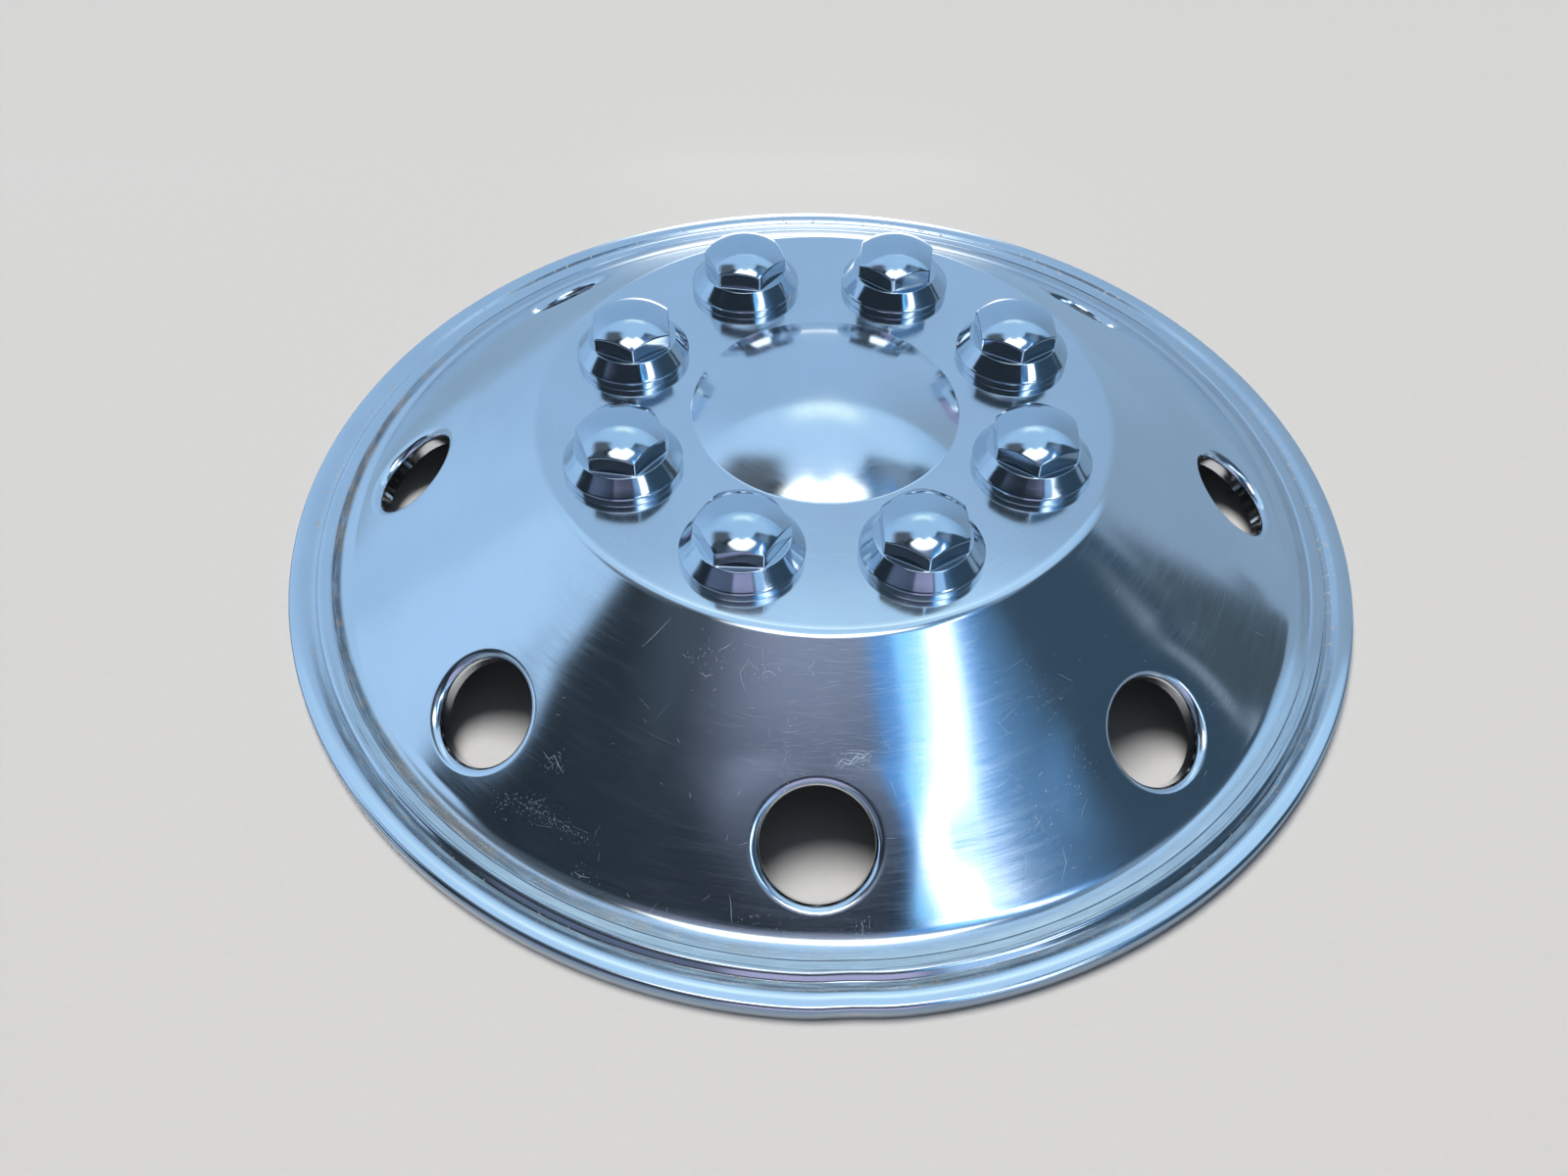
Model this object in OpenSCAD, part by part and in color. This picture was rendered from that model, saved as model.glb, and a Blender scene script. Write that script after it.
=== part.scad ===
// Front wheel simulator for a light truck: one drawn stainless liner that covers the wheel,
// with eight hand holes and eight snap-in lug nut covers.
// The wheel's axis is +Z and the liner lies face up, with the edge of its rim at z = 0.

/* [Liner sheet] */
// Thickness of the stainless sheet
sheet_t = 0.8; // [0.6:0.1:1.2]
// Outside diameter over the rim
rim_d = 437.7; // [425:0.1:450]
// Height of the flat nut land above the edge of the rim
land_h = 66; // [58:0.5:74]

/* [Hub dome] */
// Clearance from a cover's flange to the edge of the dome
dome_gap = 8.05; // [3:0.05:12]
// Height of the dome above the land
dome_h = 14; // [8:0.5:20]
// Radius of the crease round the dome
dome_crease_r = 1.5; // [1:0.1:2.5]

/* [Cone] */
// Clearance from a cover's flange to the sharp corner between the land and the cone
land_gap = 7.25; // [4:0.05:12]
// Radius of the bend from the land to the cone
land_bend_r = 7; // [4:0.5:10]
// Radius of the bend at the foot of the cone
foot_bend_r = 6; // [4:0.5:7]

/* [Rim] */
// Width of the rim, from the sharp corner at the foot of the cone to its outer edge
rim_w = 22.9; // [22:0.1:26]
// Height of the gutter at the foot of the cone
gutter_h = 7; // [6.6:0.1:7.4]
// Width of the gutter, from the foot of the cone to the small step that bounds it
gutter_w = 6.05; // [5.6:0.05:6.4]
// Height of the step
step_h = 0.5; // [0.4:0.05:0.7]
// Width of the inner band, from the step to the groove
band_w = 4.6; // [4:0.1:5]
// Depth of the groove below the inner band
groove_depth = 2.3; // [1.8:0.1:2.6]
// Width of the flat bottom of the groove
groove_w = 1.8; // [1.6:0.1:2.2]
// Slope of the groove's inner flank, in degrees
groove_fall = 50; // [44:1:56]
// Slope of the groove's outer flank, in degrees
groove_rise = 32; // [28:1:38]
// Height of the edge bead's shoulder above the groove
bead_rise = 1.2; // [1:0.1:1.5]
// Height of the edge bead's crown above its shoulder
bead_crown = 0.5; // [0.3:0.1:0.7]
// Outside radius of the corner where the bead turns down into the skirt
corner_r = 2; // [1.6:0.1:2.2]

/* [Hand holes] */
// Number of hand holes
hand_holes = 8; // [4:1:8]
// Distance from the foot of the cone in to the hand holes' centres, on the radius
hand_inset = 26.1; // [25:0.1:29]
// Clear diameter of a hand hole
hand_d = 39; // [34:0.5:41]
// Outside radius of the rolled edge of a hand hole
hand_roll_r = 3.4; // [2.6:0.1:4.2]
// Depth of the turned-in neck below the cone
hand_neck = 7.8; // [6:0.1:10]
// Turn of the hand holes about the axis, in degrees
hand_turn = -2.2; // [-6:0.1:6]
// Width of the flat pressed round a hand hole
pad_w = 2; // [1.5:0.1:3]
// Fall of the pressed flat's edge, in degrees
pad_fall = 11; // [10:0.5:14]

/* [Lug nut covers] */
// Number of wheel studs
studs = 8; // [5:1:8]
// Pitch circle of the wheel studs
stud_pcd = 165.1; // [160:0.1:170]
// Width of the flange outside the ledge at the foot of the hexagon
flange_w = 4.95; // [4:0.05:6]
// Height of the flange's upright lip
lip_h = 3.2; // [2.5:0.1:4]
// Height of the rounded shoulder over the lip
shoulder_h = 0.7; // [0.4:0.1:1]
// Distance from the neck out to the edge of that ledge
ledge_out = 0.95; // [0.6:0.05:1.5]
// Height of the ledge above the land
ledge_h = 9.5; // [8.5:0.1:11]
// Width of the ledge outside the hexagon's blunt corners
ledge_w = 0.45; // [0.3:0.05:0.8]
// Distance by which the blunt corners stand out past the flats
hex_corner = 2.1; // [1.6:0.05:2.3]
// Height of the domed top above the land
nut_h = 21.5; // [19:0.1:24]
// Radius of the domed top
nut_dome_r = 26.8; // [24:0.1:32]
// Wall thickness of a cover
nut_wall = 1.2; // [0.8:0.1:1.5]

/* [Fixing] */
// Length of the neck below the land
neck_l = 7; // [5:0.5:9]
// Clearance of the neck in the liner, on the radius
neck_gap = 0.2; // [0.1:0.05:0.4]
// Width of the push-on retaining ring outside the neck
ring_w = 4.5; // [3:0.1:5.5]
// Thickness of the retaining ring
ring_t = 0.8; // [0.6:0.1:1.2]
// Width of a slot between two of the ring's teeth
ring_slot_w = 2.2; // [1.5:0.1:3]
// Depth of those slots
ring_slot_l = 2.1; // [1.5:0.1:2.5]
// Clearance of the ring's teeth on the neck, on the radius
ring_gap = 0.05; // [0.02:0.01:0.1]
// Bore of the grip, which goes over the wheel's own lug nut
grip_bore_d = 25.6; // [24:0.1:26.5]
// Wall thickness of the grip
grip_wall = 2.4; // [1.8:0.1:3]
// Clearance of the grip in the neck, on the radius
grip_gap = 0.1; // [0.05:0.05:0.2]
// Height of the grip's fingers above the land
grip_h = 7.5; // [5:0.5:7.8]
// Thickness of the grip's flange below the neck
grip_flange_t = 1.2; // [0.8:0.1:2]
// Width of a slot between two of the grip's fingers
grip_slot_w = 2.4; // [1.5:0.1:3]
// Size of the lead-in at the mouth of the grip
grip_lead = 0.8; // [0.4:0.1:1]

/* [Hidden] */

ROUND = 180;         // facets of a full turn in the preview
BLEND = 96;          // facets of a small blend in the preview
EPS = 0.01;          // overrun of a cut
DEEP = 30;           // reach of a cut that goes right through

rim_r = rim_d / 2;
foot_d = rim_d - 2 * rim_w;
step_d = foot_d + 2 * gutter_w;
band_d = step_d + 2 * band_w;
hand_pcd = foot_d - 2 * hand_inset;
neck_d = grip_bore_d + 2 * (grip_wall + grip_gap + nut_wall);
ring_d = neck_d + 2 * ring_w;
ledge_d = neck_d + 2 * ledge_out;
flange_d = ledge_d + 2 * flange_w;
hex_blunt_r = ledge_d / 2 - ledge_w;
hex_af = 2 * (hex_blunt_r - hex_corner);
land_d = stud_pcd + flange_d + 2 * land_gap;
dome_d = stud_pcd - flange_d - 2 * dome_gap;
hex_r = hex_af / 2 / cos(30);
stud_step = 360 / studs;
hand_step = 360 / hand_holes;
ring_teeth = 8;
grip_fingers = 6;
floor_h = 1;         // overrun of the hollow below the rim's edge
nut_turns = [31.4, 26, 32.8, 22.1, 51.8, 34.7, 50.7, 57];    // turn of each cover's hexagon
small_r = 0.6;       // bend radius of the gutter's step
groove_r = 1.2;      // bend radius at the bottom of the groove
band_r = 2.4;        // bend radius at the outer edge of the inner band
shoulder_r = 3;      // bend radius of the edge bead's shoulder
crown_r = 12;        // radius of the edge bead's crown
step_run = 0.6;      // width over which the step rises
pad_lift = 0.05;     // rise of a pressed flat over the cone's highest line
pad_drop = 2.6;      // height of a pressed flat's skirt, which runs out under the cone

// The section of the liner's face, from the axis to the edge of the rim, as sharp corners,
// and the bend radius at each. The sheet's other face follows it at the sheet's thickness.
dome_run = dome_d / 2 + dome_crease_r * 0.3;
dome_fall = 2 * atan(dome_h / dome_run);
dome_r = (dome_d / 2 - dome_h / tan(dome_fall)) / tan(dome_fall / 2);
band_h = gutter_h + step_h;
groove_h = band_h - groove_depth;
groove_in_r = band_d / 2 + groove_depth / tan(groove_fall);
groove_out_r = groove_in_r + groove_w;
shoulder_x = groove_out_r + bead_rise / tan(groove_rise);
crown_x = (shoulder_x + rim_r) / 2 - 0.7;
crown_h = groove_h + bead_rise + bead_crown;
CORNERS = [
    [0, land_h + dome_h],
    [dome_d / 2 - dome_h / tan(dome_fall), land_h + dome_h],
    [dome_d / 2, land_h],
    [land_d / 2, land_h],
    [foot_d / 2, gutter_h],
    [(step_d - step_run) / 2, gutter_h],
    [(step_d + step_run) / 2, band_h],
    [band_d / 2, band_h],
    [groove_in_r, groove_h],
    [groove_out_r, groove_h],
    [shoulder_x, groove_h + bead_rise],
    [crown_x, crown_h],
    [rim_r, crown_h - bead_crown],
    [rim_r, 0]];
BENDS = [0, dome_r, dome_crease_r, land_bend_r, foot_bend_r, small_r, small_r, band_r,
    groove_r, groove_r, shoulder_r, crown_r, corner_r, 0];
LAST = len(CORNERS) - 1;

// Slope of the cone, and the place of a hand hole's centre on it
cone_fall = atan((land_h - gutter_h) / (foot_d - land_d) * 2);
hand_h = gutter_h + (foot_d - hand_pcd) / 2 * tan(cone_fall);
hand_edge_r = hand_d / 2 + hand_roll_r;

// Directions along the section, to the right of it, and the turn at a corner
function unit(v) = v / norm(v);
function along(i) = unit(CORNERS[i + 1] - CORNERS[i]);
function right_of(d) = [d.y, -d.x];
function turn_at(i) = acos(along(i - 1) * along(i));
function is_crest(i) = along(i) * right_of(along(i - 1)) > 0;
function side_of(i) = is_crest(i) ? 1 : -1;

// The section's corners and bends on a face that lies depth below the liner's face
function corner_at(i, depth) =
    i == 0 ? CORNERS[0] + depth * right_of(along(0)) :
    i == LAST ? CORNERS[LAST] + depth * right_of(along(LAST - 1)) :
    let (a = right_of(along(i - 1)), b = right_of(along(i)))
    CORNERS[i] + depth * (a + b) / (1 + a * b);
function bend_at(i, depth) = max(BENDS[i] - side_of(i) * depth, 0);

// The wedge between a sharp corner and its bend
module corner_wedge(i, depth) {
    bend_r = bend_at(i, depth);
    tip = corner_at(i, depth);
    reach = bend_r * tan(turn_at(i) / 2);
    start = tip - reach * along(i - 1);
    centre = start + side_of(i) * bend_r * right_of(along(i - 1));
    difference() {
        polygon([centre, start, centre + 1.3 * (tip - centre), tip + reach * along(i)]);
        translate(centre) circle(bend_r, $fn = BLEND * 2);
    }
}

// Everything between the axis and the face that lies depth below the liner's face
module section(depth, bottom) {
    difference() {
        union() {
            polygon(concat([for (i = [0:LAST]) corner_at(i, depth)],
                [[corner_at(LAST, depth).x, bottom], [0, bottom]]));
            for (i = [1:LAST - 1]) if (!is_crest(i)) corner_wedge(i, depth);
        }
        for (i = [1:LAST - 1]) if (is_crest(i) && bend_at(i, depth) > 0) corner_wedge(i, depth);
    }
}

// Puts a hand hole's own frame on the cone: its z leaves the cone's face at a right angle
module at_hand_hole(i) {
    rotate(hand_turn + i * hand_step)
        translate([0, -hand_pcd / 2, hand_h])
            rotate([cone_fall, 0, 0]) children();
}

// Puts a stud's frame on the land
module at_stud(i) {
    rotate((i - 0.5) * stud_step)
        translate([0, -stud_pcd / 2, land_h])
            rotate(-(i - 0.5) * stud_step) children();
}

// The flat pressed round a hand hole, so that its rolled edge lies in one plane
module hand_pad(depth) {
    flat_r = hand_edge_r + pad_w - depth * tan(pad_fall / 2);
    translate([0, 0, pad_lift - depth - pad_drop])
        cylinder(h = pad_drop, r1 = flat_r + pad_drop / tan(pad_fall), r2 = flat_r, $fn = ROUND);
}

// The rolled edge of a hand hole and its turned-in neck
module hand_neck_ring() {
    bend_z = pad_lift - hand_roll_r;
    rotate_extrude($fn = ROUND) union() {
        intersection() {
            translate([hand_edge_r, bend_z]) difference() {
                circle(hand_roll_r, $fn = BLEND);
                circle(hand_roll_r - sheet_t, $fn = BLEND);
            }
            translate([hand_edge_r - hand_roll_r, bend_z]) square(hand_roll_r);
        }
        translate([hand_d / 2, -hand_neck]) square([sheet_t, hand_neck + bend_z]);
    }
}

module liner() {
    color([0.72, 0.78, 0.84]) union() {
        difference() {
            union() {
                rotate_extrude($fn = ROUND) section(0, 0);
                for (i = [0:hand_holes - 1]) at_hand_hole(i) hand_pad(0);
            }
            rotate_extrude($fn = ROUND) section(sheet_t, -floor_h);
            for (i = [0:hand_holes - 1]) at_hand_hole(i) {
                hand_pad(sheet_t);
                translate([0, 0, -DEEP / 2]) cylinder(h = DEEP, r = hand_edge_r, $fn = ROUND);
            }
            for (i = [1:studs]) at_stud(i)
                translate([0, 0, -DEEP / 2])
                    cylinder(h = DEEP, r = neck_d / 2 + neck_gap, $fn = BLEND);
        }
        for (i = [0:hand_holes - 1]) at_hand_hole(i) hand_neck_ring();
    }
}

// The flange and the neck of a cover, solid, and the hollow under the flange
flange_slope = [(flange_d - ledge_d) / 2 - shoulder_h, lip_h + shoulder_h - ledge_h];
flange_normal = unit([-flange_slope.y, flange_slope.x]);
shoulder_in = [flange_d / 2 - shoulder_h, lip_h + shoulder_h];

module flange_section() {
    polygon([[0, -neck_l], [neck_d / 2, -neck_l], [neck_d / 2, 0], [flange_d / 2, 0],
        [flange_d / 2, lip_h], shoulder_in, [ledge_d / 2, ledge_h], [0, ledge_h]]);
    translate([flange_d / 2 - shoulder_h, lip_h]) circle(shoulder_h, $fn = BLEND);
}

module flange_hollow() {
    under = shoulder_in - nut_wall * flange_normal;
    top_h = under.y + (under.x - neck_d / 2) * -flange_slope.y / flange_slope.x;
    polygon([[neck_d / 2, -EPS], [flange_d / 2 - nut_wall, -EPS],
        [flange_d / 2 - nut_wall, under.y], [under.x, under.y],
        [neck_d / 2, min(top_h, ledge_h - nut_wall)]]);
}

// The hexagon with its domed top, or its hollow when it is drawn a wall smaller
module domed_hex(inset, foot_h) {
    intersection() {
        translate([0, 0, foot_h])
            cylinder(h = nut_h - foot_h, r = hex_r - inset / cos(30), $fn = 6);
        translate([0, 0, foot_h])
            cylinder(h = nut_h - foot_h, r = hex_blunt_r - inset, $fn = BLEND);
        translate([0, 0, nut_h - nut_dome_r]) sphere(nut_dome_r - inset, $fn = ROUND);
    }
}

module nut_cover(i) {
    hollow_h = ledge_h - nut_wall;
    color([0.80, 0.85, 0.90]) at_stud(i) rotate(nut_turns[(i - 1) % len(nut_turns)]) difference() {
        union() {
            rotate_extrude($fn = ROUND) flange_section();
            domed_hex(0, ledge_h - EPS);
        }
        rotate_extrude($fn = ROUND) flange_hollow();
        translate([0, 0, -neck_l - EPS])
            cylinder(h = neck_l + hollow_h + EPS, r = neck_d / 2 - nut_wall, $fn = BLEND);
        domed_hex(nut_wall, hollow_h - EPS);
    }
}

// Push-on ring that holds a cover's neck against the back of the land
module retaining_ring(i) {
    color([0.55, 0.56, 0.58]) at_stud(i) translate([0, 0, -sheet_t - ring_t])
        difference() {
            cylinder(h = ring_t, d = ring_d, $fn = BLEND);
            translate([0, 0, -EPS])
                cylinder(h = ring_t + 2 * EPS, r = neck_d / 2 + ring_gap, $fn = BLEND);
            for (k = [0:ring_teeth - 1]) rotate(k * 360 / ring_teeth)
                translate([0, -ring_slot_w / 2, -EPS])
                    cube([neck_d / 2 + ring_gap + ring_slot_l, ring_slot_w, ring_t + 2 * EPS]);
        }
}

// Slotted sleeve in a cover's neck that grips the wheel's own lug nut
module nut_grip(i) {
    foot_h = -neck_l - grip_flange_t;
    bore_r = grip_bore_d / 2;
    color([0.12, 0.12, 0.13]) at_stud(i) difference() {
        union() {
            translate([0, 0, foot_h]) cylinder(h = grip_flange_t, d = neck_d, $fn = BLEND);
            translate([0, 0, foot_h])
                cylinder(h = grip_h - foot_h, r = neck_d / 2 - nut_wall - grip_gap, $fn = BLEND);
        }
        translate([0, 0, foot_h - EPS])
            cylinder(h = grip_h - foot_h + 2 * EPS, r = bore_r, $fn = BLEND);
        translate([0, 0, foot_h - EPS])
            cylinder(h = grip_lead + EPS, r1 = bore_r + grip_lead, r2 = bore_r, $fn = BLEND);
        for (k = [0:grip_fingers - 1]) rotate(k * 360 / grip_fingers)
            translate([0, -grip_slot_w / 2, -neck_l / 2])
                cube([neck_d / 2, grip_slot_w, grip_h + neck_l / 2 + EPS]);
    }
}

liner();
for (i = [1:studs]) nut_cover(i);
for (i = [1:studs]) retaining_ring(i);
for (i = [1:studs]) nut_grip(i);
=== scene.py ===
"""Looks of a truck's front wheel simulator: a polished liner, its lug nut covers and their fixings."""

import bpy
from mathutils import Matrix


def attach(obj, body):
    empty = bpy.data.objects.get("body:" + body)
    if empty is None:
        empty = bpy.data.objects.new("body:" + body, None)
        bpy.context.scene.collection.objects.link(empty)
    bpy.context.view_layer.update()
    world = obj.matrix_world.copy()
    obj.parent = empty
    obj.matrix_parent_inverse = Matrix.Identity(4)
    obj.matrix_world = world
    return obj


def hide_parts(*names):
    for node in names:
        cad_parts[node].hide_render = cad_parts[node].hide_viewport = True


bl_info = {
    "name": "Wheel Simulator",
    "version": (1, 0, 0),
    "blender": (4, 5, 0),
    "location": "View3D > Sidebar > Wheel Simulator",
    "description": "Builds a polished stainless wheel simulator with lug nut covers, and its stage",
    "category": "Add Mesh",
}

import math
import random

import bmesh
import bpy
from bpy.props import FloatProperty, FloatVectorProperty, IntProperty, PointerProperty
from mathutils import Matrix, Vector
from mathutils.bvhtree import BVHTree

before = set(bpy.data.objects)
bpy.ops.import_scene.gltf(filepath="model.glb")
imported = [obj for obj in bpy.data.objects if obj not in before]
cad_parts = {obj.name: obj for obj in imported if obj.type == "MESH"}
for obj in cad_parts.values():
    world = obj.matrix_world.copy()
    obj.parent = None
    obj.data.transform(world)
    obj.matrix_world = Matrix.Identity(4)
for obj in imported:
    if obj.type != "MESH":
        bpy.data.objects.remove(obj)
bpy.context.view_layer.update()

MM = 0.001
NUTS = 8
HAND_HOLES = 8
FIRST_NUT = 22.5     # where the first cover stands, in degrees from the front
NUT_TURNS = (31.4, 26.0, 32.8, 22.1, 51.8, 34.7, 50.7, 57.0)  # the hexagons' turns, in degrees
SHARP = 40           # degrees between faces from which an edge stays sharp
PER_RADIAN = math.degrees(1)

# Distances and heights of the liner's section, in millimetres
DOME_GAP = 8.05      # from the hub dome to a cover's flange
LAND_GAP = 7.25      # from a cover's flange to the land's edge
RIM_WIDTH = 22.9     # from the cone's foot to the rim
GUTTER = 7.0         # height of the gutter at the cone's foot
GROOVE = 5.2         # height of the groove inside the edge bead
HUB_END = 56.0       # where the plain middle ends, and the land with its seats begins
LAND_END = 108.5     # where the land with its seats ends
CONE_START = 143.0   # where the cone with its hand holes begins
FOOT_TOP = 9.6       # a height just over the bend at the cone's foot
# Dark lines painted on the rim's step, toward the front; the one at 202 mm is painted shade along the small
# rise from the gutter
DARK_RINGS = (202.0, 205.1)  # dark lines on the rim's step

# The knock at the front of the rim, in millimetres and degrees
KNOCK_START = 199.0  # radius where it begins
KNOCK_FADE = 4.0     # distance over which it deepens
KNOCK_DEPTH = 0.7
KNOCK_AT = 1.0       # angle from the front
KNOCK_SPREAD = 2.6

# How rolling a hand hole's edge pulled the cone up beside it
PRESS_PULL = 0.42    # share of the cone's drop taken back at the edge
PRESS_ASIDE = 3.5    # extra reach to the sides, in reaches downhill

# A lug nut cover's flange, in millimetres: distance in from its radius, and height
LEDGE_EDGE = ((5.12, 0.0), (4.9, -0.1), (4.74, -0.3))  # heights from the ledge
BEVEL_FOOT = ((0.72, 4.02), (0.45, 3.78), (0.2, 3.5), (0.04, 3.2), (0.0, 2.9))
FLANGE_EDGE = ((0.0, 0.35), (0.06, 0.1), (0.25, 0.0), (1.1, 0.0))
BLUNT = 60           # the higher, the sharper the hexagon's corners

# The fine marks of use
MARK_LIFT = 0.025    # height of a mark over the sheet, in mm
HANDLING_MARKS = 260
POLISHING_STROKES = 170
STRAY_PATCHES = 26


# Sizes and colours that a user would change


class LinerSizes(bpy.types.PropertyGroup):
    """Sizes of the drawn liner"""

    sheet: FloatProperty(name="Sheet", description="Thickness of the stainless sheet",
                         default=0.8 * MM, unit="LENGTH")
    rim: FloatProperty(name="Rim", description="Radius over the rim",
                       default=218.85 * MM, unit="LENGTH")
    land: FloatProperty(name="Land", description="Height of the flat nut land",
                        default=66.0 * MM, unit="LENGTH")
    dome: FloatProperty(name="Dome", description="Height of the hub dome above the land",
                        default=14.0 * MM, unit="LENGTH")
    hand_circle: FloatProperty(name="Hand hole circle", description="Radius to the hand hole centres",
                               default=169.85 * MM, unit="LENGTH")
    hand_edge: FloatProperty(name="Hand hole edge", default=22.9 * MM, unit="LENGTH",
                             description="Radius at which a hand hole's edge starts to roll")
    hand_roll: FloatProperty(name="Rolled edge", description="Outside radius of a hand hole's rolled edge",
                             default=3.4 * MM, unit="LENGTH")
    hand_turn: FloatProperty(name="Hand hole turn", description="Turn of the hand holes about the axis",
                             default=math.radians(-2.2), subtype="ANGLE")
    hand_neck: FloatProperty(name="Hand hole neck", description="Depth of a neck under the cone",
                             default=7.8 * MM, unit="LENGTH")
    columns: IntProperty(name="Columns", description="Mesh columns round the liner", default=280)


class CoverSizes(bpy.types.PropertyGroup):
    """Sizes of a lug nut cover"""

    circle: FloatProperty(name="Stud circle", description="Radius to the wheel studs",
                          default=82.55 * MM, unit="LENGTH")
    flange: FloatProperty(name="Flange", description="Radius of the flange",
                          default=22.4 * MM, unit="LENGTH")
    flat: FloatProperty(name="Half flats", description="Half the width across the hexagon's flats",
                        default=14.9 * MM, unit="LENGTH")
    ledge: FloatProperty(name="Ledge", description="Height of the ledge under the hexagon",
                         default=9.5 * MM, unit="LENGTH")
    top: FloatProperty(name="Top", description="Height of the domed top", default=21.5 * MM, unit="LENGTH")
    dome: FloatProperty(name="Top radius", description="Radius of the domed top",
                        default=26.8 * MM, unit="LENGTH")
    wall: FloatProperty(name="Wall", description="Wall thickness", default=1.2 * MM, unit="LENGTH")
    neck: FloatProperty(name="Neck", description="Radius of the neck through the land",
                        default=16.5 * MM, unit="LENGTH")
    neck_length: FloatProperty(name="Neck length", description="Reach of the neck below the land's face",
                               default=7.0 * MM, unit="LENGTH")


class FinishColours(bpy.types.PropertyGroup):
    """Colours of the finishes"""

    steel: FloatVectorProperty(name="Steel", description="Polished stainless", subtype="COLOR", size=3,
                               min=0, max=1, default=(0.80, 0.83, 0.86))
    back: FloatVectorProperty(name="Back", description="Unpolished back of the sheet", subtype="COLOR",
                              size=3, min=0, max=1, default=(0.30, 0.295, 0.285))
    chrome: FloatVectorProperty(name="Chrome", description="Plated lug nut cover", subtype="COLOR", size=3,
                                min=0, max=1, default=(0.62, 0.69, 0.755))
    dirt: FloatVectorProperty(name="Dirt", description="Grime in the gutter", subtype="COLOR", size=3,
                              min=0, max=1, default=(0.11, 0.10, 0.09))
    floor: FloatVectorProperty(name="Floor", description="Floor", subtype="COLOR", size=3,
                               min=0, max=1, default=(0.50, 0.50, 0.50))


# Small helpers


def feed(made, inputs):
    """Sets a node's inputs: each socket's name or number, with a value or another node's socket."""
    for key, value in inputs.items():
        if isinstance(value, bpy.types.NodeSocket):
            made.id_data.links.new(value, made.inputs[key])
        else:
            made.inputs[key].default_value = value


def node(tree, kind, inputs=None, **settings):
    """Adds a node with these inputs and settings."""
    made = tree.nodes.new(kind)
    for name, value in settings.items():
        setattr(made, name, value)
    feed(made, inputs or {})
    return made


def calc(tree, kind, *values):
    """A Math node's result."""
    return node(tree, "ShaderNodeMath", dict(enumerate(values)), operation=kind).outputs[0]


def times(tree, first, second):
    return calc(tree, "MULTIPLY", first, second)


def noise(tree, place, scale, detail, roughness=0.5):
    """Fractal noise that varies round 0.5."""
    made = node(tree, "ShaderNodeTexNoise", {"Vector": place, "Scale": scale, "Detail": detail,
                                             "Roughness": roughness})
    return made.outputs[0]


def own_place(tree):
    """The shaded point in its object's own coordinates."""
    return node(tree, "ShaderNodeTexCoord").outputs["Object"]


def ramp(tree, value, low, high, to_low=0.0, to_high=1.0):
    """value from low to high, eased to to_low and to_high."""
    made = node(tree, "ShaderNodeMapRange", {0: value, 1: low, 2: high, 3: to_low, 4: to_high},
                interpolation_type="SMOOTHSTEP")
    return made.outputs[0]


def between(tree, value, start, full, fade, end):
    """1 from full to fade, eased to 0 at start and at end."""
    return times(tree, ramp(tree, value, start, full), ramp(tree, value, fade, end, 1.0, 0.0))


def blend_colour(tree, factor, first, second):
    """A mix of two colours."""
    made = node(tree, "ShaderNodeMix", {0: factor, 6: first, 7: second}, data_type="RGBA")
    return made.outputs[2]


def opaque(colour, share=1.0):
    """A colour with its alpha, darkened to that share."""
    return (*(c * share for c in colour), 1.0)


def new_material(name):
    """A node material, its tree and its shader."""
    material = bpy.data.materials.new(name)
    material.use_nodes = True
    tree = material.node_tree
    return material, tree, tree.nodes["Principled BSDF"]


def finish_mesh(name, bm, *materials):
    """Turns bm into a smooth object with these materials."""
    mesh = bpy.data.meshes.new(name)
    bm.to_mesh(mesh)
    bm.free()
    obj = bpy.data.objects.new(name, mesh)
    bpy.context.scene.collection.objects.link(obj)
    for material in materials:
        mesh.materials.append(material)
    mesh.shade_smooth()
    mesh.set_sharp_from_angle(angle=math.radians(SHARP))
    return obj


def polar(azimuth, radius, height):
    """A point by its angle from the front in degrees, seen counter-clockwise from above."""
    a = math.radians(azimuth)
    return Vector((radius * math.sin(a), -radius * math.cos(a), height))


# The liner's section


def right_of(d):
    return Vector((d.y, -d.x))


def liner_corners(s, cover):
    """The section's sharp corners with the bend radius at each, in metres."""
    land, dome, rim = s.land / MM, s.dome / MM, s.rim / MM
    edge = (cover.circle - cover.flange) / MM - DOME_GAP
    fall = 2 * math.atan(dome / (edge + 0.45))
    flat = edge - dome / math.tan(fall)
    foot = rim - RIM_WIDTH
    band = GUTTER + 0.5
    rows = [
        (0, land + dome, 0),
        (flat, land + dome, flat / math.tan(fall / 2)),
        (edge, land, 1.5),
        ((cover.circle + cover.flange) / MM + LAND_GAP, land, 7),
        (foot, GUTTER, 11),
        (foot + 5.75, GUTTER, 0.6),
        (foot + 6.35, band, 0.6),
        (foot + 10.65, band, 2.4),
        (foot + 12.58, GROOVE, 1.2),
        (foot + 14.38, GROOVE, 1.2),
        (foot + 16.3, GROOVE + 1.2, 3.0),
        (foot + 18.9, GROOVE + 1.7, 12),
        (rim, GROOVE + 1.2, 2),
        (rim, 0, 0),
    ]
    return [(Vector((r, z)) * MM, bend * MM) for r, z, bend in rows]


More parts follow.
